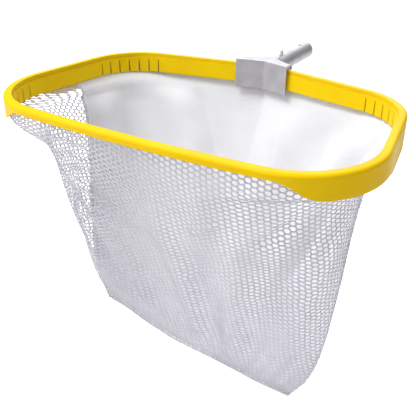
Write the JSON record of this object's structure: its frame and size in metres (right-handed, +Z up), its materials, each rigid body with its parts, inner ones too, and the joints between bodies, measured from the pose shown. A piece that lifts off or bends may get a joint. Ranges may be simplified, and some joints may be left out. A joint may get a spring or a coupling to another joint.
{
  "type": "leaf skimmer net",
  "caption": "Deep bag net for skimming leaves: flat plastic hoop with a low front lip, mesh front, cloth back, and a tube with snap pins that slips into a pool pole.",
  "frame": {"origin": "centre of the handle tube's open end, on the tube's axis", "axes": "+Y along the handle tube, out of its open end and into the pole; +Z up, square to the hoop's rim; +X across the hoop"},
  "size_m": [0.5642, 0.522, 0.453],
  "materials": {
    "hoop_plastic": "satin moulded yellow",
    "strip_plastic": "satin moulded yellow",
    "cord": "braided cord",
    "band": "woven tape",
    "net": "knitted mesh with diamond cells",
    "cloth": "fine translucent weave",
    "tape": "woven tape",
    "cast_aluminium": "brushed",
    "tube_aluminium": "matt drawn tube",
    "rivet": "bright",
    "spring_steel": "spring strip",
    "nylon": "natural nylon"
  },
  "bodies": {
    "net_frame": {"hoop_rim": "hoop_plastic", "lock_strip_left": "strip_plastic", "lock_strip_right": "strip_plastic", "lock_strip_front": "strip_plastic", "hem_cord": "cord", "hem_band": "band", "bag_net": "net", "bag_back_panel": "cloth", "side_seam_left": "tape", "side_seam_right": "tape", "bottom_seam": "tape", "bracket": "cast_aluminium", "handle_tube": "tube_aluminium", "rail_rivets": "rivet", "tube_rivets": "rivet", "clip_fold": "spring_steel", "clip_arm_upper": "spring_steel", "clip_arm_lower": "spring_steel"},
    "upper_pin": {"clip_pin_upper": "nylon"},
    "lower_pin": {"clip_pin_lower": "nylon"}
  },
  "joints": [
    {"name": "upper_pin_press", "type": "slide", "parent": "net_frame", "child": "upper_pin", "axis": [0, 0, -1], "range_m": [0, 0.0084], "stiffness_N_per_m": 300, "springref_m": -0.01, "deforming": ["clip_arm_upper"]},
    {"name": "lower_pin_press", "type": "slide", "parent": "net_frame", "child": "lower_pin", "axis": [0, 0, 1], "range_m": [0, 0.0084], "stiffness_N_per_m": 300, "springref_m": -0.01, "deforming": ["clip_arm_lower"]}
  ]
}
